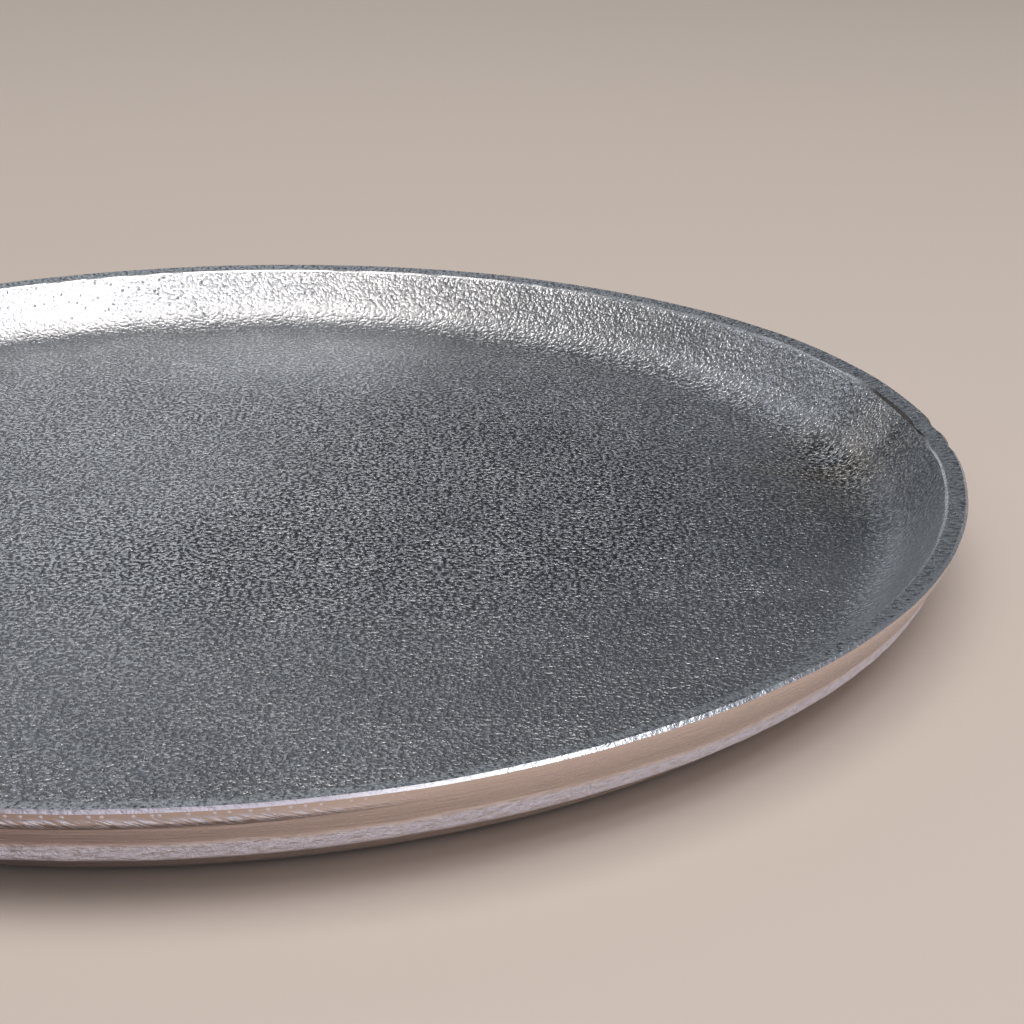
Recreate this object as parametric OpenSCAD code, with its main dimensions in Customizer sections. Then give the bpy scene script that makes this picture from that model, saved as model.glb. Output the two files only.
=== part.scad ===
// Round cast plate with a low flared wall, a flat ground lip and felt feet.
// Millimetres, +Z up, origin on the table under the middle of the plate.

/* [Plate] */
// Diameter across the widest part of the lip
plate_d = 300; // [200:1:400]
// Height from the table to the top of the lip
plate_h = 18; // [15:0.5:24]
// Thickness of the cast floor
floor_t = 4; // [3:0.1:6]

/* [Outside wall] */
// Lean of the outside wall from vertical at the lip, in degrees
lip_lean = 15; // [5:1:25]
// Lean that the outside wall would reach at the base without its corner radius, in degrees
base_lean = 66; // [60:1:72]
// Radius that blends the outside wall into the flat base
base_corner_r = 4; // [1:0.5:8]

/* [Well] */
// Lean of the inside wall from vertical, in degrees
well_lean = 42; // [35:1:50]
// Radius that blends the inside wall into the floor
well_corner_r = 16; // [4:0.5:20]

/* [Lip] */
// Width of the ground lip, without its chamfer
lip_w = 3.6; // [2.5:0.1:6]
// Drop of the ground lip from its outer edge to its inner edge
lip_fall = 0.6; // [0:0.1:1]
// Width of the filed chamfer on the outer edge of the lip
lip_chamfer = 0.4; // [0.2:0.1:1]

/* [Felt feet] */
// Number of felt feet in the ring
foot_count = 4; // [3:1:8]
// Diameter of each felt foot
foot_d = 20; // [10:1:40]
// Thickness of the felt, which lifts the casting off the table
foot_t = 1; // [0.5:0.1:3]
// Distance from a foot's edge to the edge of the flat base
foot_inset = 8; // [2:1:20]

/* [Hidden] */
$fn = 180;

plate_r = plate_d / 2;
base_z = foot_t;
floor_z = base_z + floor_t;

// Outside wall: an arc from the chamfer down to the base, about one centre
wall_top_z = plate_h - lip_chamfer;
flare_r = (wall_top_z - base_z) / (sin(base_lean) - sin(lip_lean));
flare_x = plate_r - flare_r * cos(lip_lean);
flare_z = wall_top_z + flare_r * sin(lip_lean);

// Base corner: its centre, the edge of the flat base, and where it touches the flare arc
base_corner_z = base_z + base_corner_r;
base_flat_r = flare_x + sqrt(pow(flare_r - base_corner_r, 2) - pow(flare_z - base_corner_z, 2));
base_touch = atan2(flare_z - base_corner_z, base_flat_r - flare_x);

// Lip: a flat ring that slopes down to its inner edge
lip_outer_x = plate_r - lip_chamfer;
lip_inner_x = lip_outer_x - lip_w;
lip_inner_z = plate_h - lip_fall;

// Well: a straight leaning wall from the lip's inner edge, and a corner that touches wall and floor
wall_foot_x = lip_inner_x - (lip_inner_z - floor_z) * tan(well_lean);
well_flat_r = wall_foot_x - well_corner_r * tan((90 - well_lean) / 2);
well_corner_z = floor_z + well_corner_r;

foot_ring_r = base_flat_r - foot_inset - foot_d / 2;

// Room left past the metal and above the flare centre, so that cuts run clear
over = 5;
clear_z = max(flare_z, well_corner_z) + over;

// Half section of the metal before the well is taken out of it
module outside_section() {
    reach = 2 * flare_r;
    translate([0, base_z])
        square([base_flat_r, plate_h - base_z]);
    translate([base_flat_r, base_corner_z])
        circle(r = base_corner_r);
    intersection() {
        translate([flare_x, flare_z])
            circle(r = flare_r);
        polygon([
            [flare_x, flare_z],
            [flare_x + reach * cos(base_touch), flare_z - reach * sin(base_touch)],
            [flare_x + reach, flare_z],
        ]);
    }
}

// Half section of the well, open to the top
module well_section() {
    rise = clear_z - lip_inner_z;
    translate([well_flat_r, well_corner_z])
        circle(r = well_corner_r);
    polygon([
        [0, floor_z],
        [well_flat_r, floor_z],
        [well_flat_r, well_corner_z],
        [well_flat_r + well_corner_r * cos(well_lean), well_corner_z - well_corner_r * sin(well_lean)],
        [lip_inner_x + rise * tan(well_lean), clear_z],
        [0, clear_z],
    ]);
}

// Section of what the grinder takes off the top: the sloping lip face and the outer chamfer
module ground_off_section() {
    slope = lip_fall / lip_w;
    inner_x = lip_inner_x - over;
    polygon([
        [0, clear_z],
        [0, lip_inner_z - slope * over],
        [inner_x, lip_inner_z - slope * over],
        [lip_outer_x, plate_h],
        [plate_r + over, wall_top_z - over],
        [plate_r + over, clear_z],
    ]);
}

// Solid casting: floor, flared wall and ground lip, in one piece of metal
module dish() {
    color("silver")
        rotate_extrude($fn = 360)
            difference() {
                outside_section();
                well_section();
                ground_off_section();
            }
}

// Self-adhesive felt disc stuck under the base, standing on the table
module felt_foot(index) {
    color("dimgray")
        rotate([0, 0, 360 * (index - 0.5) / foot_count])
            translate([foot_ring_r, 0, 0])
                cylinder(d = foot_d, h = foot_t);
}

dish();
for (index = [1:foot_count])
    felt_foot(index);
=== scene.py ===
"""A sand-cast aluminium paten plate with a ground lip and felt feet, on a pale studio floor."""
import math

import bmesh
import bpy
from bpy.props import FloatProperty, FloatVectorProperty, IntProperty, PointerProperty
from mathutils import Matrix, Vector, noise


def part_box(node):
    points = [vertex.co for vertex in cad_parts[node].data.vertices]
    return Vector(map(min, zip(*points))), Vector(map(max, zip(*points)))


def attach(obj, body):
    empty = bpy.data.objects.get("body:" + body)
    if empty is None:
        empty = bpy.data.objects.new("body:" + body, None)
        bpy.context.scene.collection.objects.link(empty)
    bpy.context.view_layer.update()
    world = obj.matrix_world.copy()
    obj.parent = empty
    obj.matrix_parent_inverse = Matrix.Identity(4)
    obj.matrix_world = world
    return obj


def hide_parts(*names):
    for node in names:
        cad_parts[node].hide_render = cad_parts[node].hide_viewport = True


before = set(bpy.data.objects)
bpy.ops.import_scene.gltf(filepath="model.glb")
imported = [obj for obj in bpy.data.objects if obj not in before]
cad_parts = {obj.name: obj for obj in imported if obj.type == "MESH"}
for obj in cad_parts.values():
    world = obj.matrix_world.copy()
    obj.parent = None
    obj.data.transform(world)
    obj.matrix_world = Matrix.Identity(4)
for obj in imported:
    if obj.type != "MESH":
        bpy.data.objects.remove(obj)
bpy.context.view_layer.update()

bl_info = {
    "name": "Paten Plate",
    "version": (1, 0, 0),
    "blender": (4, 5, 0),
    "location": "View3D > Sidebar > Paten Plate",
    "description": "Builds a sand-cast paten plate with a ground lip and felt feet",
    "category": "Add Mesh",
}

MM = 0.001
DISH_LOW, DISH_HIGH = (Vector(corner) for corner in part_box("dish"))
FEET = sorted(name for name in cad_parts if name.startswith("felt_foot"))
RIDGE_DEPTH = 9.4 * MM


def linear(hex_colour):
    """Turns an sRGB hex colour into the linear colour that shaders and lights take."""
    channels = [int(hex_colour[i:i + 2], 16) / 255 for i in (0, 2, 4)]
    return tuple(c / 12.92 if c <= 0.04045 else ((c + 0.055) / 1.055) ** 2.4 for c in channels)


# ---------------------------------------------------------------- settings


class PlateSizes(bpy.types.PropertyGroup):
    """Sizes of the plate that the frame's box doesn't give."""
    floor: FloatProperty(
        name="Floor", description="Thickness of the cast floor", default=4 * MM, unit="LENGTH")
    lip_lean: FloatProperty(
        name="Lip lean", description="Lean of the outside wall from vertical at the lip",
        default=math.radians(15), subtype="ANGLE")
    base_lean: FloatProperty(
        name="Base lean", description="Lean the outside wall would reach without its base corner",
        default=math.radians(66), subtype="ANGLE")
    base_corner: FloatProperty(
        name="Base corner", description="Radius between the outside wall and the base",
        default=4 * MM, unit="LENGTH")
    well_lean: FloatProperty(
        name="Well lean", description="Lean of the inside wall from vertical",
        default=math.radians(42), subtype="ANGLE")
    well_corner: FloatProperty(
        name="Well corner", description="Radius between the inside wall and the floor",
        default=16 * MM, unit="LENGTH")
    lip: FloatProperty(
        name="Lip", description="Width of the ground lip without its chamfer",
        default=3.6 * MM, unit="LENGTH")
    lip_fall: FloatProperty(
        name="Lip fall", description="Drop of the ground lip from its outer to its inner edge",
        default=0.6 * MM, unit="LENGTH")
    chamfer: FloatProperty(
        name="Outer chamfer", description="Width of the filed chamfer on the lip's outer edge",
        default=0.6 * MM, unit="LENGTH")
    inner_chamfer: FloatProperty(
        name="Inner chamfer", description="Width of the worn edge inside the lip",
        default=0.42 * MM, unit="LENGTH")
    around: IntProperty(
        name="Segments", description="Segments round the lip, a multiple of 8", default=768)


class FinishColours(bpy.types.PropertyGroup):
    """Colours of the metal, the felt and the studio."""
    cast: FloatVectorProperty(
        name="Cast metal", description="Raw sand-cast aluminium", subtype="COLOR",
        size=3, default=linear("ECEEF0"))
    pit: FloatVectorProperty(
        name="Pit", description="Shaded pits between the pebbles of the cast skin",
        subtype="COLOR", size=3, default=linear("34383C"))
    # Also laid as painted shade over a broad patch on the right of the well.
    stain: FloatVectorProperty(
        name="Cast stain", description="Darker skin left by the mould", subtype="COLOR",
        size=3, default=linear("A2A5A8"))
    # Painted reflection: a warm tint laid in the corner of the well.
    warm_reflection: FloatVectorProperty(
        name="Oxide", description="Faint warm tarnish in the corner of the well", subtype="COLOR",
        size=3, default=linear("D8CEC2"))
    ground: FloatVectorProperty(
        name="Ground lip", description="Aluminium bared by the grinder", subtype="COLOR",
        size=3, default=linear("D2D6D8"))
    # Painted shade: the darker colour laid in the pits and grooves of the ground lip.
    lip_pit_shade: FloatVectorProperty(
        name="Lip pit", description="Sand pits left in the ground lip", subtype="COLOR",
        size=3, default=linear("5C6166"))
    # Painted shadow: a dark brown laid where the chattered inner edge of the lip steps down.
    chatter_shadow: FloatVectorProperty(
        name="Grime", description="Old polish caught in the chatter of the lip's inner edge",
        subtype="COLOR", size=3, default=linear("4E4640"))
    # Painted shade: a darker lavender grey laid on the filed edges at the front-left.
    shaded_edge: FloatVectorProperty(
        name="Handled edge", description="Duller metal on the rolled side of the filed edges",
        subtype="COLOR", size=3, default=linear("A8A4AE"))
    polished: FloatVectorProperty(
        name="Polished wall", description="Aluminium after the polishing belt", subtype="COLOR",
        size=3, default=linear("DCCDC8"))
    # Painted reflection: a brown reflection laid over the outside wall on its front-left, rolled side.
    brown_reflection: FloatVectorProperty(
        name="Held wall", description="Duller, browner polish on the rolled side of the wall",
        subtype="COLOR", size=3, default=linear("998480"))
    # On the ridge this is the cast skin that the belt missed, with a painted lavender reflection; on the
    # nicks and strokes under the lip it is painted highlight.
    skipped: FloatVectorProperty(
        name="Skipped skin", description="Cast skin on the ridge that the belt missed",
        subtype="COLOR", size=3, default=linear("F2F1FF"))
    felt: FloatVectorProperty(
        name="Felt", description="Pressed felt of the feet", subtype="COLOR",
        size=3, default=linear("4A4B4E"))
    table: FloatVectorProperty(
        name="Floor", description="Pale floor that the plate stands on", subtype="COLOR",
        size=3, default=linear("E4D6C8"))


# ---------------------------------------------------------------- materials

MATH, RANGE, MIX = "ShaderNodeMath", "ShaderNodeMapRange", "ShaderNodeMix"
NOISE, BUMP, SPLIT = "ShaderNodeTexNoise", "ShaderNodeBump", "ShaderNodeSeparateXYZ"

# Patches of the cast skin: middle and reach in millimetres, the nearness that takes the full
# change, and how high the grain stands there against the rest, which also scales the painted
# shade in its pits
SKIN_PATCHES = (
    ((135, -36, 11), 34, 1.0, 0.5),
    ((138, 28, 11), 26, 1.0, 1.7),
    ((10, 122, 5), 62, 0.8, 0.6),
    ((-66, 132, 12), 50, 0.7, 0.45),
    ((38, -2, 5), 75, 0.8, 1.25),
)


def add_node(tree, kind, inputs=None, **settings):
    """Adds a node, applies its settings, and links or fills its inputs."""
    node = tree.nodes.new(kind)
    for name, value in settings.items():
        setattr(node, name, value)
    fill(tree, node, inputs or {})
    return node


def fill(tree, node, inputs):
    """Links or sets inputs. A node given as a value is joined by its first output in use."""
    for socket, value in inputs.items():
        if isinstance(value, bpy.types.Node):
            value = next(output for output in value.outputs if output.enabled)
        if isinstance(value, bpy.types.NodeSocket):
            tree.links.new(value, node.inputs[socket])
        else:
            node.inputs[socket].default_value = value


def new_material(name):
    """An empty material with its Principled shader already wired to the output, and the place
    on the plate that its patterns are laid out from."""
    material = bpy.data.materials.new(name)
    material.use_nodes = True
    tree = material.node_tree
    tree.nodes.clear()
    shader = add_node(tree, "ShaderNodeBsdfPrincipled")
    add_node(tree, "ShaderNodeOutputMaterial", {"Surface": shader})
    place = add_node(tree, "ShaderNodeTexCoord").outputs["Object"]
    return material, tree, shader, place


def per_mm(millimetres):
    """Texture scale at which a pattern repeats about every so many millimetres."""
    return 1 / (millimetres * MM)


def nearness(tree, place, centre, reach):
    """One at a spot on the plate, falling to nothing at its reach. Both are in millimetres."""
    apart = add_node(tree, "ShaderNodeVectorMath", {
        0: place, 1: tuple(c * MM for c in centre)}, operation="DISTANCE")
    return add_node(tree, RANGE, {
        "Value": apart.outputs["Value"], "From Min": 0, "From Max": reach * MM,
        "To Min": 1, "To Max": 0}, interpolation_type="SMOOTHSTEP")


def cast_skin(tree, place):
    """Grain, vigour, glint patch and normal of metal that ran against sand: grains just under
    1 mm print pebbles of uneven height, over slow swells, and a bead of metal here and there
    stands proud, most of all in one patch on the wall."""
    vigour = 1.0
    for centre, reach, full, strength in SKIN_PATCHES:
        patch = add_node(tree, RANGE, {
            "Value": nearness(tree, place, centre, reach), "From Max": full,
            "To Min": 1.0, "To Max": strength})
        vigour = add_node(tree, MATH, {0: vigour, 1: patch}, operation="MULTIPLY")
    pebbles = add_node(tree, NOISE, {
        "Vector": place, "Scale": per_mm(0.85), "Detail": 1.5, "Roughness": 0.55})
    waves = add_node(tree, NOISE, {"Vector": place, "Scale": per_mm(9), "Detail": 2.0})
    uneven = add_node(tree, RANGE, {
        "Value": waves, "From Min": 0.3, "From Max": 0.7, "To Min": 0.46, "To Max": 0.66})
    standing = add_node(tree, MATH, {0: vigour, 1: uneven}, operation="MULTIPLY")
    grain = add_node(tree, MATH, {0: pebbles, 1: standing}, operation="MULTIPLY")

    glints = nearness(tree, place, (138, 31, 12), 11)
    cells = add_node(tree, "ShaderNodeTexVoronoi", {
        "Vector": place, "Scale": per_mm(1.0)}, feature="F1")
    pick = add_node(tree, "ShaderNodeSeparateColor", {"Color": cells.outputs["Color"]})
    likely = add_node(tree, MATH, {
        0: glints, 1: 0.5, 2: pick.outputs["Red"]}, operation="MULTIPLY_ADD")
    chosen = add_node(tree, RANGE, {"Value": likely, "From Min": 0.88, "From Max": 0.92})
    dome = add_node(tree, RANGE, {
        "Value": cells.outputs["Distance"], "From Min": 0.45, "From Max": 0.05},
        interpolation_type="SMOOTHSTEP")
    beads = add_node(tree, MATH, {0: chosen, 1: dome}, operation="MULTIPLY")
    proud = add_node(tree, MATH, {0: glints, 1: 2.0, 2: vigour}, operation="MULTIPLY_ADD")
    raised = add_node(tree, MATH, {0: beads, 1: proud}, operation="MULTIPLY")

    swells = add_node(tree, NOISE, {"Vector": place, "Scale": per_mm(11), "Detail": 2.0})
    normal = add_node(tree, BUMP, {"Height": swells, "Distance": 0.35 * MM, "Strength": 1.0})
    normal = add_node(tree, BUMP, {
        "Height": grain, "Distance": 1.0 * MM, "Strength": 1.0, "Normal": normal})
    normal = add_node(tree, BUMP, {
        "Height": raised, "Distance": 0.30 * MM, "Strength": 1.0, "Normal": normal})
    return pebbles, vigour, glints, normal


def sand_cast_aluminium(colours):
    """Raw aluminium as it leaves a sand mould: the grains print a pebbled skin just under 1 mm
    coarse that glitters on its tops, with faint grey stains. Painted shade darkens its pits, most
    of all on the level floor, and a broad patch on the right; a painted warm reflection lies in the
    corner of the well, and the glint patch is painted lighter as a highlight."""
    material, tree, shader, place = new_material("Sand_Cast_Aluminium")
    pebbles, vigour, glints, normal = cast_skin(tree, place)

    clouds = add_node(tree, NOISE, {
        "Vector": place, "Scale": per_mm(30), "Detail": 4.0, "Roughness": 0.62})
    stains = add_node(tree, RANGE, {
        "Value": clouds, "From Min": 0.38, "From Max": 0.72, "To Max": 0.4})
    # Random grey stains, and painted shade over a broad patch on the right of the well.
    stain_and_shade = add_node(tree, MATH, {
        0: stains, 1: nearness(tree, place, (142, -5, 12), 75)}, operation="MAXIMUM")
    # Painted highlight: the glint patch is cleared of stain so that it shows lighter.
    glint_unstained = add_node(tree, MATH, {0: glints, 1: 1.6}, operation="MULTIPLY")
    stain_and_shade = add_node(tree, MATH, {0: stain_and_shade, 1: glint_unstained}, operation="SUBTRACT")
    clean = add_node(tree, MIX, {
        "Factor": stain_and_shade, "A": (*colours.cast, 1), "B": (*colours.stain, 1)}, data_type="RGBA")
    blotches = add_node(tree, NOISE, {"Vector": place, "Scale": per_mm(14), "Detail": 3.0})
    blotchy = add_node(tree, RANGE, {"Value": blotches, "From Min": 0.35, "From Max": 0.65})
    # Painted reflection: a warm tint in the corner of the well at its right, broken into blotches.
    reflection = add_node(tree, MATH, {
        0: nearness(tree, place, (129, 22, 7), 34), 1: blotchy}, operation="MULTIPLY")
    skin = add_node(tree, MIX, {
        "Factor": reflection, "A": clean, "B": (*colours.warm_reflection, 1)}, data_type="RGBA")

    # The pits carry painted shade, darkest on the level floor, and broad patches there make it
    # lighter or darker. Towards the front, up to half of its contrast gives way to an even painted grey.
    spot = add_node(tree, SPLIT, {"Vector": place})
    level = add_node(tree, RANGE, {
        "Value": spot.outputs["Z"], "From Min": 5.5 * MM, "From Max": 8.5 * MM,
        "To Min": 1.0, "To Max": 0.58}, interpolation_type="SMOOTHSTEP")
    middle = add_node(tree, RANGE, {
        "Value": nearness(tree, place, (25, 15, 5), 125), "From Max": 0.7,
        "To Min": 0.78, "To Max": 1.0})
    # Painted shade made lighter over a broad patch in the middle of the floor.
    lighter_shade_patch = add_node(tree, RANGE, {
        "Value": nearness(tree, place, (-4, 20, 5), 62), "To Min": 1, "To Max": 0.74})
    # Painted highlight: the glint patch keeps as little as half of its pit shade.
    glint_pit_ease = add_node(tree, RANGE, {
        "Value": glints, "From Max": 0.6, "To Min": 1, "To Max": 0.5})
    depth = vigour
    for share in (level, middle, lighter_shade_patch, glint_pit_ease):
        depth = add_node(tree, MATH, {0: depth, 1: share}, operation="MULTIPLY")
    depth = add_node(tree, MATH, {0: depth, 1: 1.0}, operation="MINIMUM")
    hollows = add_node(tree, RANGE, {
        "Value": pebbles, "From Min": 0.45, "From Max": 0.57, "To Min": 1, "To Max": 0})
    pits = add_node(tree, MATH, {0: hollows, 1: depth}, operation="MULTIPLY")
    # Painted shade: towards the front the pit shade turns to an even grey.
    even_front_shade = add_node(tree, RANGE, {
        "Value": spot.outputs["Y"], "From Min": -25 * MM, "From Max": -80 * MM, "To Max": 0.5})
    left = add_node(tree, MATH, {0: 1.0, 1: even_front_shade}, operation="SUBTRACT")
    pits = add_node(tree, MATH, {0: pits, 1: left}, operation="MULTIPLY")
    pits = add_node(tree, MATH, {0: even_front_shade, 1: 0.66, 2: pits}, operation="MULTIPLY_ADD")
    # Painted shade: the pits take the dark pit colour.
    pit_shaded = add_node(tree, MIX, {
        "Factor": pits, "A": skin, "B": (*colours.pit, 1)}, data_type="RGBA")
    rough = add_node(tree, RANGE, {
        "Value": pebbles, "From Min": 0.42, "From Max": 0.60, "To Min": 0.38, "To Max": 0.16})
    fill(tree, shader, {
        "Base Color": pit_shaded, "Metallic": 1.0, "Roughness": rough, "Normal": normal})
    return material


def rim_place(tree, place):
    """Where a point lies on the turned shape: metres round the rim, metres below the lip and
    metres from the axis."""
    spot = add_node(tree, SPLIT, {"Vector": place})
    back = add_node(tree, MATH, {0: spot.outputs["Y"], 1: -1.0}, operation="MULTIPLY")
    angle = add_node(tree, MATH, {0: spot.outputs["X"], 1: back}, operation="ARCTAN2")
    around = add_node(tree, MATH, {0: angle, 1: DISH_HIGH.x}, operation="MULTIPLY")
    below = add_node(tree, MATH, {0: DISH_HIGH.z, 1: spot.outputs["Z"]}, operation="SUBTRACT")
    flat = add_node(tree, "ShaderNodeCombineXYZ", {"X": spot.outputs["X"], "Y": spot.outputs["Y"]})
    radius = add_node(tree, "ShaderNodeVectorMath", {0: flat}, operation="LENGTH")
    return around, below, radius.outputs["Value"]


def marks(tree, along, across, along_mm, across_mm, detail=2.0, slant=0.0):
    """Drawn-out marks: a noise stretched to so many millimetres along and across a direction
    that leans by a slant."""
    place = add_node(tree, "ShaderNodeCombineXYZ", {"X": along, "Y": across})
    lean = add_node(tree, "ShaderNodeMapping", {"Vector": place, "Rotation": (0, 0, slant)})
    drawn = add_node(tree, "ShaderNodeVectorMath", {
        0: lean, 1: (per_mm(along_mm), per_mm(across_mm), 1)}, operation="MULTIPLY")
    return add_node(tree, NOISE, {
        "Vector": drawn, "Scale": 1.0, "Detail": detail, "Roughness": 0.6})


def ground_aluminium(colours):
    """Lip taken flat on a grinding wheel: short cuts lie straight across it, about one to the
    millimetre, and the sand's pits still show between them, with painted shade in the pits and grooves."""
    material, tree, shader, place = new_material("Ground_Aluminium")
    around, _, radius = rim_place(tree, place)
    cuts = marks(tree, around, radius, 0.75, 1.7, 2.0)
    pits = add_node(tree, NOISE, {
        "Vector": place, "Scale": per_mm(0.8), "Detail": 2.0, "Roughness": 0.6})
    normal = add_node(tree, BUMP, {"Height": cuts, "Distance": 0.20 * MM, "Strength": 1.0})
    normal = add_node(tree, BUMP, {
        "Height": pits, "Distance": 0.26 * MM, "Strength": 1.0, "Normal": normal})
    # Painted shade: low spots of the cuts and pits take the darker pit colour.
    shade = add_node(tree, MATH, {0: cuts, 1: pits}, operation="MULTIPLY")
    tops = add_node(tree, RANGE, {"Value": shade, "From Min": 0.15, "From Max": 0.27})
    metal = add_node(tree, MIX, {
        "Factor": tops, "A": (*colours.lip_pit_shade, 1), "B": (*colours.ground, 1)}, data_type="RGBA")
    rough = add_node(tree, RANGE, {
        "Value": pits, "From Min": 0.35, "From Max": 0.65, "To Min": 0.42, "To Max": 0.22})
    fill(tree, shader, {
        "Base Color": metal, "Metallic": 1.0, "Roughness": rough, "Normal": normal})
    return material


def filed_aluminium(colours):
    """Narrow edges broken with a file: bright, uncoated metal with small nicks that glint. On the
    rolled side it is rougher and painted a darker lavender grey as shade, and where the file
    chattered it is painted dark as the shadow of the chatter."""
    material, tree, shader, place = new_material("Filed_Aluminium")
    nicks = add_node(tree, NOISE, {
        "Vector": place, "Scale": per_mm(1.6), "Detail": 3.0, "Roughness": 0.7})
    # Painted shade over the filed edges at the front-left, which are also made rougher.
    shaded_edge = add_node(tree, RANGE, {
        "Value": nearness(tree, place, (-45, -140, 18), 125), "From Min": 0.05, "From Max": 0.3})
    # Painted shadow of the chatter in the lip's inner edge, near the right of the well.
    caught = add_node(tree, MATH, {
        0: nearness(tree, place, (144, 27, 17), 34), 1: 1.6}, operation="MULTIPLY")
    caught = add_node(tree, MATH, {0: caught, 1: 1.0}, operation="MINIMUM")
    painted_front_left = add_node(tree, MIX, {
        "Factor": shaded_edge, "A": (*colours.cast, 1), "B": (*colours.shaded_edge, 1)}, data_type="RGBA")
    chatter_shadowed = add_node(tree, MIX, {
        "Factor": caught, "A": painted_front_left, "B": (*colours.chatter_shadow, 1)}, data_type="RGBA")
    rough = add_node(tree, RANGE, {
        "Value": nicks, "From Min": 0.3, "From Max": 0.7, "To Min": 0.36, "To Max": 0.20})
    rough = add_node(tree, MATH, {0: rough, 1: shaded_edge})
    rough = add_node(tree, MATH, {0: rough, 1: 0.48}, operation="MINIMUM")
    normal = add_node(tree, BUMP, {"Height": nicks, "Distance": 0.25 * MM, "Strength": 1.0})
    fill(tree, shader, {
        "Base Color": chatter_shadowed, "Metallic": 1.0, "Roughness": rough, "Normal": normal})
    return material


def skipped_ridge(tree, place, around, below):
    """One on the ridge that the polishing belt skipped, which wanders 0.5 mm up and down and
    breaks up into dashes."""
    waves = add_node(tree, NOISE, {"Vector": place, "Scale": per_mm(22), "Detail": 3.0})
    wander = add_node(tree, RANGE, {
        "Value": waves, "From Min": 0.3, "From Max": 0.7,
        "To Min": -0.5 * MM, "To Max": 0.5 * MM})
    depth = add_node(tree, MATH, {0: below, 1: wander})
    depth = add_node(tree, MATH, {0: depth, 1: RIDGE_DEPTH}, operation="SUBTRACT")
    apart = add_node(tree, MATH, {0: depth}, operation="ABSOLUTE")
    body = add_node(tree, RANGE, {
        "Value": apart, "From Min": 2.6 * MM, "From Max": 0.8 * MM},
        interpolation_type="SMOOTHSTEP")
    dashes = add_node(tree, RANGE, {
        "Value": marks(tree, around, below, 2.4, 0.8, 3.0), "From Min": 0.34, "From Max": 0.52,
        "To Min": 0.45, "To Max": 1.0})
    return add_node(tree, MATH, {0: body, 1: dashes}, operation="MULTIPLY")


def rolled_strokes(tree, around, below, rolled):
    """The band rolled out under the lip, and the slanting strokes that score it, which come in
    gusts."""
    start = add_node(tree, RANGE, {
        "Value": below, "From Min": 1.2 * MM, "From Max": 2.5 * MM},
        interpolation_type="SMOOTHSTEP")
    end = add_node(tree, RANGE, {
        "Value": below, "From Min": 3.7 * MM, "From Max": 2.5 * MM},
        interpolation_type="SMOOTHSTEP")
    band = add_node(tree, MATH, {0: start, 1: end}, operation="MULTIPLY")
    band = add_node(tree, MATH, {0: band, 1: rolled}, operation="MULTIPLY")
    strokes = add_node(tree, RANGE, {
        "Value": marks(tree, around, below, 4.0, 0.42, 1.0, math.radians(-28)),
        "From Min": 0.42, "From Max": 0.58}, interpolation_type="SMOOTHSTEP")
    gusts = add_node(tree, RANGE, {
        "Value": marks(tree, around, below, 2.4, 9.0, 1.0, math.radians(-28)),
        "From Min": 0.36, "From Max": 0.56, "To Min": 0.4, "To Max": 1},
        interpolation_type="SMOOTHSTEP")
    return band, add_node(tree, MATH, {0: strokes, 1: gusts}, operation="MULTIPLY")


def edge_nicks(tree, around, below, rolled):
    """A loose row of round nicks about 2.8 mm apart, 1.1 mm below the lip."""
    steps = add_node(tree, MATH, {0: around, 1: per_mm(2.8)}, operation="MULTIPLY")
    spacing = add_node(tree, "ShaderNodeTexVoronoi", {
        "W": steps, "Scale": 1.0, "Randomness": 0.8}, voronoi_dimensions="1D", feature="F1")
    sideways = add_node(tree, MATH, {0: spacing, 1: 2.8 * MM}, operation="MULTIPLY")
    upright = add_node(tree, MATH, {0: below, 1: 1.1 * MM}, operation="SUBTRACT")
    apart = add_node(tree, "ShaderNodeCombineXYZ", {"X": sideways, "Y": upright})
    apart = add_node(tree, "ShaderNodeVectorMath", {0: apart}, operation="LENGTH")
    nick = add_node(tree, RANGE, {
        "Value": apart.outputs["Value"], "From Min": 0.42 * MM, "From Max": 0},
        interpolation_type="SMOOTHSTEP")
    return add_node(tree, MATH, {0: nick, 1: rolled}, operation="MULTIPLY")


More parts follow.
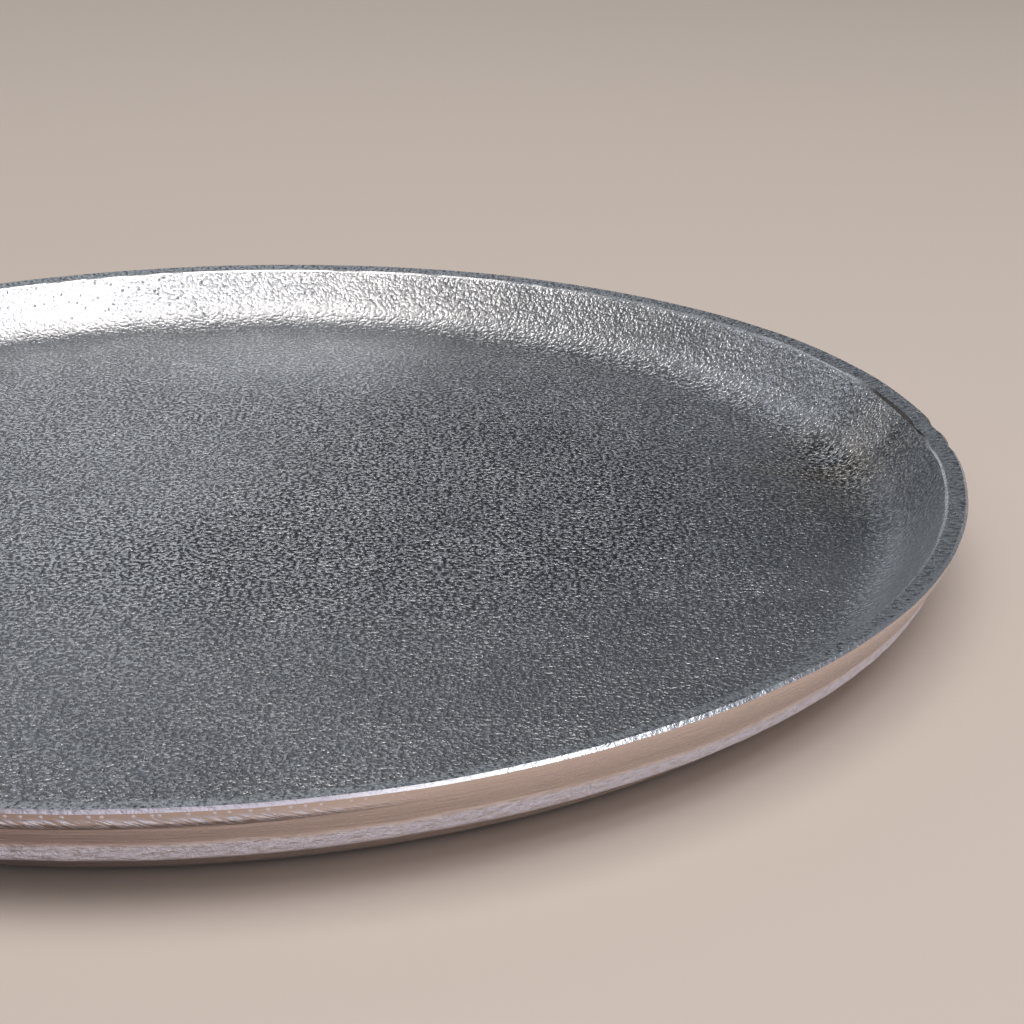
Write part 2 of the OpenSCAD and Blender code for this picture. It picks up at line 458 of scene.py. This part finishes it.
def belt_polished_aluminium(colours):
    """Outside wall run against a polishing belt: a satin shine drawn out along the rim. The belt
    skips a low ridge half way down, which keeps its glittering cast skin with a painted lavender
    reflection. On the rolled side the wall carries a painted brown reflection, and the bright
    nicks and slanting strokes under the lip are painted highlights."""
    material, tree, shader, place = new_material("Belt_Polished_Aluminium")
    around, below, _ = rim_place(tree, place)
    ridge = skipped_ridge(tree, place, around, below)
    # Painted brown reflection over the front-left of the outside wall; the rolled side is taken from the
    # same spot.
    brown_reflection = nearness(tree, place, (-45, -140, 14), 105)
    rolled = add_node(tree, RANGE, {"Value": brown_reflection, "From Min": 0.02, "From Max": 0.25})
    band, strokes = rolled_strokes(tree, around, below, rolled)
    nicks = edge_nicks(tree, around, below, rolled)

    streaks = marks(tree, around, below, 13.0, 0.5, 3.0)
    pebbles = add_node(tree, NOISE, {
        "Vector": place, "Scale": per_mm(0.9), "Detail": 2.5, "Roughness": 0.6})
    scored = add_node(tree, RANGE, {"Value": strokes, "To Min": 0.75, "To Max": 1})
    scored = add_node(tree, MATH, {0: scored, 1: band}, operation="MULTIPLY")
    skin = add_node(tree, MATH, {0: pebbles, 1: ridge}, operation="MULTIPLY")
    normal = None
    for height, millimetres in ((streaks, 0.10), (scored, 0.55), (nicks, 0.16), (skin, 0.95)):
        under = {"Normal": normal} if normal else {}
        normal = add_node(tree, BUMP, {
            "Height": height, "Distance": millimetres * MM, "Strength": 1.0, **under})

    # Painted highlight: the strokes, the nicks and the ridge are lightened towards a near-white lavender.
    stroke_highlight = add_node(tree, MATH, {0: strokes, 1: band}, operation="MULTIPLY")
    stroke_highlight = add_node(tree, MATH, {0: stroke_highlight, 1: 1.6}, operation="MULTIPLY")
    nick_highlight = add_node(tree, RANGE, {"Value": nicks, "From Max": 0.5})
    bright = add_node(tree, MATH, {0: nick_highlight, 1: stroke_highlight}, operation="MAXIMUM")
    bright = add_node(tree, MATH, {0: ridge, 1: bright}, operation="MAXIMUM")
    # Painted reflection: the wall turns browner towards the front-left.
    painted_front_left = add_node(tree, MATH, {0: brown_reflection, 1: 0.9}, operation="MULTIPLY")
    wall = add_node(tree, MIX, {
        "Factor": painted_front_left, "A": (*colours.polished, 1), "B": (*colours.brown_reflection, 1)},
        data_type="RGBA")
    metal = add_node(tree, MIX, {
        "Factor": bright, "A": wall, "B": (*colours.skipped, 1)}, data_type="RGBA")
    satin = add_node(tree, RANGE, {
        "Value": streaks, "From Min": 0.3, "From Max": 0.7, "To Min": 0.20, "To Max": 0.32})
    rougher = add_node(tree, RANGE, {"Value": ridge, "To Max": 0.30})
    rough = add_node(tree, MATH, {0: satin, 1: rougher})
    fill(tree, shader, {
        "Base Color": metal, "Metallic": 1.0, "Roughness": rough, "Normal": normal})
    return material


def pressed_felt(colours):
    """Dense needled wool felt: matt, with short crossed fibres and a faint fuzz at its edges."""
    material, tree, shader, place = new_material("Pressed_Felt")
    fibres = add_node(tree, NOISE, {
        "Vector": place, "Scale": per_mm(0.8), "Detail": 5.0, "Roughness": 0.75,
        "Distortion": 1.5})
    normal = add_node(tree, BUMP, {"Height": fibres, "Distance": 0.25 * MM, "Strength": 1.0})
    dark = tuple(c * 0.55 for c in colours.felt)
    shade = add_node(tree, MIX, {
        "Factor": fibres, "A": (*dark, 1), "B": (*colours.felt, 1)}, data_type="RGBA")
    fill(tree, shader, {
        "Base Color": shade, "Roughness": 0.95, "Sheen Weight": 0.3, "Normal": normal})
    return material


def matt_floor(colours):
    """Plain matt studio board."""
    material, tree, shader, place = new_material("Matt_Studio_Board")
    clouds = add_node(tree, NOISE, {"Vector": place, "Scale": per_mm(300), "Detail": 2.0})
    near = tuple(c * 0.97 for c in colours.table)
    shade = add_node(tree, MIX, {
        "Factor": clouds, "A": (*near, 1), "B": (*colours.table, 1)}, data_type="RGBA")
    fill(tree, shader, {"Base Color": shade, "Roughness": 0.8})
    return material


# ---------------------------------------------------------------- casting


def arc(centre, radius, start, end, steps):
    """Points on an arc in the section plane. Angles are below the horizontal, outwards."""
    angles = [start + (end - start) * i / steps for i in range(steps + 1)]
    return [(centre[0] + radius * math.cos(a), centre[1] - radius * math.sin(a)) for a in angles]


def straight(start, end, steps):
    """Points on a straight stretch of the section."""
    return [tuple(s + (e - s) * i / steps for s, e in zip(start, end)) for i in range(steps + 1)]


def dish_section(sizes):
    """The turned outline as named stretches of (radius, height) points, from under the base,
    up the outside, over the lip and down into the well."""
    rim, top, base = DISH_HIGH.x, DISH_HIGH.z, DISH_LOW.z
    quarter = math.pi / 2

    wall_top = top - sizes.chamfer
    flare = (wall_top - base) / (math.sin(sizes.base_lean) - math.sin(sizes.lip_lean))
    centre = (rim - flare * math.cos(sizes.lip_lean), wall_top + flare * math.sin(sizes.lip_lean))
    drop = centre[1] - base - sizes.base_corner
    reach = math.sqrt((flare - sizes.base_corner) ** 2 - drop ** 2)
    base_centre = (centre[0] + reach, base + sizes.base_corner)
    base_touch = math.atan2(drop, reach)
    rolled = sizes.lip_lean + 4.6 * MM / flare

    lip_outer = (rim - sizes.chamfer, top)
    lip_inner = (lip_outer[0] - sizes.lip, top - sizes.lip_fall)
    cut, lean, corner = sizes.inner_chamfer, sizes.well_lean, sizes.well_corner
    lip_end = (lip_inner[0] + cut, lip_inner[1] + cut * sizes.lip_fall / sizes.lip)
    wall_start = (lip_inner[0] - cut * math.sin(lean), lip_inner[1] - cut * math.cos(lean))

    well = base + sizes.floor
    foot_x = lip_inner[0] - (lip_inner[1] - well) * math.tan(lean)
    well_centre = (foot_x - corner * math.tan((quarter - lean) / 2), well + corner)
    wall_corner = arc(well_centre, corner, lean, quarter, 16)
    return {
        "base": straight((0, base), (base_centre[0], base), 26),
        "outside": arc(base_centre, sizes.base_corner, quarter, base_touch, 6)
        + arc(centre, flare, base_touch, rolled, 20)[1:]
        + arc(centre, flare, rolled, sizes.lip_lean, 10)[1:],
        "edge": straight((rim, wall_top), lip_outer, 2),
        "lip": straight(lip_outer, lip_end, 5),
        "inner_edge": straight(lip_end, wall_start, 2),
        "well": straight(wall_start, wall_corner[0], 9) + wall_corner[1:]
        + straight((well_centre[0], well), (0, well), 82)[1:],
    }


def segments_at(radius, sizes):
    """Segments in the ring at a radius: halved towards the middle so faces keep their size."""
    count, limit = sizes.around, DISH_HIGH.x * 0.6
    while radius < limit and count > sizes.around // 16:
        count, limit = count // 2, limit / 2
    return count


def near_bearing(angle, bearing, spread):
    """One at a bearing round the rim, falling away over a spread. Both are in degrees."""
    turn = math.remainder(angle - math.radians(bearing), 2 * math.pi)
    return math.exp(-((turn / math.radians(spread)) ** 2))


def outside_cut(angle, below, ripple):
    """How far inside its turned outline the outside wall lies: the edge under the lip was rolled
    over on one side, and the belt took the wall back above and below the ridge it skipped."""
    way = Vector((math.cos(angle), math.sin(angle), 0))
    turn = math.remainder(angle - math.radians(215), 2 * math.pi)
    side = min(1.0, max(0.0, (math.radians(76) - abs(turn)) / math.radians(16)))
    roll = (1.2 + 3.0 * side * side * (3 - 2 * side) + 0.4 * ripple) * MM
    rolled = min(1.0, max(0.0, below - 0.4 * MM) / roll)
    shoulder = below - RIDGE_DEPTH - 1.0 * MM
    skipped = math.exp(-((shoulder / ((1.7 if shoulder < 0 else 1.1) * MM)) ** 2))
    skipped *= 0.85 + 0.15 * noise.noise(way * 25)
    return 0.12 * roll * (1 - rolled) ** 2 + 1.0 * MM * (1 - skipped) * min(1.0, below / (6 * MM))


def cast_place(radius, height, angle, stretch):
    """Moves a point of the true outline by what casting and hand grinding do to it. The outside,
    its edge and the lip move only inwards or down, which keeps the casting in its box. The inner
    edge and the top of the well also wander either way, by up to half a millimetre."""
    way = Vector((math.cos(angle), math.sin(angle), 0))
    below = DISH_HIGH.z - height
    near_lip = max(0.0, 1 - below / (7 * MM))
    ripple = 0.5 + 0.5 * noise.noise(way * 9 + Vector((7, 3, 1)))
    cut = (0.35 * (0.5 + 0.5 * noise.noise(way * 1.7)) + 0.25 * ripple) * MM * near_lip
    drop = 0.0
    if stretch in ("outside", "edge", "lip"):
        knocks = 0.8 * near_bearing(angle, 6.3, 1.3) + 0.5 * near_bearing(angle, 1.4, 0.8)
        cut += (knocks + 0.5 * near_bearing(angle, 204, 1.6)) * MM * near_lip
        cut += outside_cut(angle, below if stretch == "outside" else 0.0, ripple)
    if stretch in ("lip", "edge", "inner_edge"):
        drop = 0.25 * MM * (0.5 + 0.5 * noise.noise(way * 2.3 + Vector((2, 9, 4))))
    if stretch in ("inner_edge", "well"):
        cut -= 0.5 * MM * near_lip ** 4 * noise.noise(way * 14 + Vector((1, 5, 8)))
        worn = near_bearing(angle, 11, 6) * MM * near_lip ** 12
        chatter = 0.5 + 0.5 * math.sin(angle * 256) * noise.noise(way * 40)
        cut += worn * (0.6 + 0.9 * chatter)
        drop += worn * 0.7
    return radius - cut, height - drop


def build_casting(sizes, finishes):
    """One closed mesh: rings of the section joined round the axis, with a finish for each
    stretch of it."""
    section = dish_section(sizes)
    mesh = bmesh.new()
    slots = {name: index for index, name in enumerate(finishes)}
    finish_of = {
        "base": "cast", "outside": "polished", "edge": "filed",
        "lip": "ground", "inner_edge": "filed", "well": "cast",
    }
    rings, last = [], None
    for stretch, points in section.items():
        for index, (radius, height) in enumerate(points):
            if index == 0 and last is not None:
                continue
            if radius < MM * 0.01:
                rings.append(([mesh.verts.new((0, 0, height))], stretch))
                last = stretch
                continue
            count = segments_at(radius, sizes)
            ring = []
            for step in range(count):
                angle = 2 * math.pi * step / count
                r, z = cast_place(radius, height, angle, stretch)
                ring.append(mesh.verts.new((r * math.cos(angle), r * math.sin(angle), z)))
            rings.append((ring, stretch))
            last = stretch
    for (low, _), (high, stretch) in zip(rings, rings[1:]):
        for face in bridge(mesh, low, high):
            face.material_index = slots[finish_of[stretch]]
            face.smooth = True
    return finish_piece(mesh, "plate_casting", finishes.values())


def bridge(mesh, low, high):
    """Faces between two neighbouring rings, where one may have twice the points or be a point."""
    n, m = len(low), len(high)
    if n == 1:
        return [mesh.faces.new((low[0], high[(i + 1) % m], high[i])) for i in range(m)]
    if m == 1:
        return [mesh.faces.new((low[i], low[(i + 1) % n], high[0])) for i in range(n)]
    if n == m:
        return [mesh.faces.new((low[i], low[(i + 1) % n], high[(i + 1) % m], high[i]))
                for i in range(n)]
    made = []
    if n < m:
        for i in range(n):
            a, b = low[i], low[(i + 1) % n]
            c, d, e = high[2 * i], high[2 * i + 1], high[(2 * i + 2) % m]
            made += [mesh.faces.new((a, d, c)), mesh.faces.new((a, b, d)), mesh.faces.new((b, e, d))]
        return made
    for i in range(m):
        a, b = high[i], high[(i + 1) % m]
        c, d, e = low[2 * i], low[2 * i + 1], low[(2 * i + 2) % n]
        made += [mesh.faces.new((c, d, a)), mesh.faces.new((a, d, b)), mesh.faces.new((d, e, b))]
    return made


# ---------------------------------------------------------------- feet


def build_foot(name, felt):
    """A disc punched out of pressed felt: its lower edge is a little rounded by the punch and
    its rim a little uneven where fibres pulled."""
    low, high = (Vector(corner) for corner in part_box(name))
    middle, radius = (low + high) / 2, (high.x - low.x) / 2
    outline = (
        straight((0, low.z), (radius - 0.35 * MM, low.z), 6)
        + arc((radius - 0.35 * MM, low.z + 0.35 * MM), 0.35 * MM, math.pi / 2, 0, 4)[1:]
        + straight((radius, high.z - 0.1 * MM), (radius - 0.1 * MM, high.z), 1)
        + straight((radius - 0.1 * MM, high.z), (0, high.z), 6)[1:]
    )
    mesh = bmesh.new()
    rings = []
    for reach, height in outline:
        ring = []
        for step in range(96 if reach > 0 else 1):
            angle = 2 * math.pi * step / 96
            way = Vector((math.cos(angle), math.sin(angle), 0))
            pulled = 0.25 * MM * (0.5 + 0.5 * noise.noise(way * 11 + middle * 100))
            spot = middle + way * (reach - pulled * (reach / radius) ** 8)
            ring.append(mesh.verts.new((spot.x, spot.y, height)))
        rings.append(ring)
    for lower, upper in zip(rings, rings[1:]):
        for face in bridge(mesh, lower, upper):
            face.smooth = True
    return finish_piece(mesh, name + "_disc", [felt])


def finish_piece(mesh, name, materials):
    """Turns built geometry into a named object in the scene."""
    data = bpy.data.meshes.new(name)
    mesh.to_mesh(data)
    mesh.free()
    data.set_sharp_from_angle(angle=math.radians(28))
    for material in materials:
        data.materials.append(material)
    piece = bpy.data.objects.new(name, data)
    bpy.context.collection.objects.link(piece)
    return piece


# ---------------------------------------------------------------- studio

# Softboxes round the plate: bearing and height in degrees, size in metres, and how bright their face is
SOFTBOXES = {
    "ceiling_softbox": dict(bearing=300, height=87, width=1.3, length=1.3, glow=1.95, tint="FFF8F3"),
    "front_high_softbox": dict(bearing=318, height=61, width=1.2, length=0.7, glow=2.3, tint="FAFAFF"),
    "left_high_softbox": dict(bearing=208, height=54, width=1.2, length=0.6, glow=0.55, tint="FFF0E4"),
    "right_high_softbox": dict(bearing=0, height=50, width=0.8, length=0.6, glow=0.2, tint="F0F4FF"),
    "front_middle_softbox": dict(bearing=290, height=33, width=2.4, length=0.55, glow=0.6, tint="F0F4FF"),
    "front_low_softbox": dict(bearing=290, height=12, width=2.4, length=0.55, glow=0.45, tint="F0F4FF"),
    "window_softbox": dict(bearing=111, height=26, width=1.1, length=0.75, glow=0.52, tint="F4F8FF"),
}
SOFTBOX_DISTANCE = 1.6


def softbox(context, name, bearing, height, width, length, glow, tint):
    """A square lamp facing the plate from a bearing and a height."""
    lamp = bpy.data.lights.new(name, "AREA")
    lamp.shape, lamp.size, lamp.size_y = "RECTANGLE", width, length
    lamp.energy = glow * math.pi * width * length
    lamp.color = linear(tint)
    box = bpy.data.objects.new(name, lamp)
    turn, rise = math.radians(bearing), math.radians(height)
    way = Vector((math.cos(turn) * math.cos(rise), math.sin(turn) * math.cos(rise), math.sin(rise)))
    box.location = way * SOFTBOX_DISTANCE
    box.rotation_euler = way.to_track_quat("Z", "Y").to_euler()
    context.collection.objects.link(box)


# ---------------------------------------------------------------- operators


class PATEN_OT_casting(bpy.types.Operator):
    """Builds the plate casting with its cast, ground, filed and polished faces"""
    bl_idname = "paten.casting"
    bl_label = "Plate casting"

    def execute(self, context):
        colours = context.scene.paten_colours
        finishes = {
            "cast": sand_cast_aluminium(colours), "ground": ground_aluminium(colours),
            "filed": filed_aluminium(colours), "polished": belt_polished_aluminium(colours),
        }
        casting = build_casting(context.scene.paten_sizes, finishes)
        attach(casting, "root")
        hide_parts("dish")
        return {"FINISHED"}


class PATEN_OT_feet(bpy.types.Operator):
    """Builds the felt feet stuck under the base"""
    bl_idname = "paten.feet"
    bl_label = "Felt feet"

    def execute(self, context):
        felt = pressed_felt(context.scene.paten_colours)
        for name in FEET:
            foot = build_foot(name, felt)
            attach(foot, "root")
            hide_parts(name)
        return {"FINISHED"}


class PATEN_OT_stage(bpy.types.Operator):
    """Lays the pale floor and sets the soft lights and the camera"""
    bl_idname = "paten.stage"
    bl_label = "Stage"

    def execute(self, context):
        scene = context.scene
        mesh = bmesh.new()
        bmesh.ops.create_grid(mesh, x_segments=1, y_segments=1, size=3.0)
        finish_piece(mesh, "studio_floor", [matt_floor(scene.paten_colours)])

        world = bpy.data.worlds.new("Studio")
        world.use_nodes = True
        backdrop = world.node_tree.nodes["Background"]
        backdrop.inputs["Color"].default_value = (*linear("E8EEFA"), 1)
        backdrop.inputs["Strength"].default_value = 0.18
        scene.world = world
        for name, lamp in SOFTBOXES.items():
            softbox(context, name, **lamp)

        lens = bpy.data.cameras.new("camera")
        lens.lens = 77.85
        lens.sensor_width = 36
        camera = bpy.data.objects.new("camera", lens)
        camera.location = (0.0607, -0.4212, DISH_HIGH.z + 0.1489)
        camera.rotation_euler = (math.radians(90 - 21.04), math.radians(0.19), 0)
        context.collection.objects.link(camera)
        scene.camera = camera
        scene.view_settings.view_transform = "Standard"
        return {"FINISHED"}


class PATEN_PT_panel(bpy.types.Panel):
    """Lists what builds the plate"""
    bl_idname = "PATEN_PT_panel"
    bl_label = "Paten Plate"
    bl_space_type = "VIEW_3D"
    bl_region_type = "UI"
    bl_category = "Paten Plate"

    def draw(self, context):
        for operator in OPERATORS:
            self.layout.operator(operator.bl_idname)
        for group in (context.scene.paten_sizes, context.scene.paten_colours):
            for name in group.__annotations__:
                self.layout.prop(group, name)


OPERATORS = (PATEN_OT_casting, PATEN_OT_feet, PATEN_OT_stage)
CLASSES = (PlateSizes, FinishColours, *OPERATORS, PATEN_PT_panel)


def register():
    for cls in CLASSES:
        bpy.utils.register_class(cls)
    bpy.types.Scene.paten_sizes = PointerProperty(type=PlateSizes)
    bpy.types.Scene.paten_colours = PointerProperty(type=FinishColours)


def unregister():
    del bpy.types.Scene.paten_colours
    del bpy.types.Scene.paten_sizes
    for cls in reversed(CLASSES):
        bpy.utils.unregister_class(cls)


def main():
    register()
    bpy.ops.paten.casting()
    bpy.ops.paten.feet()
    bpy.ops.paten.stage()


if __name__ == "__main__":
    main()
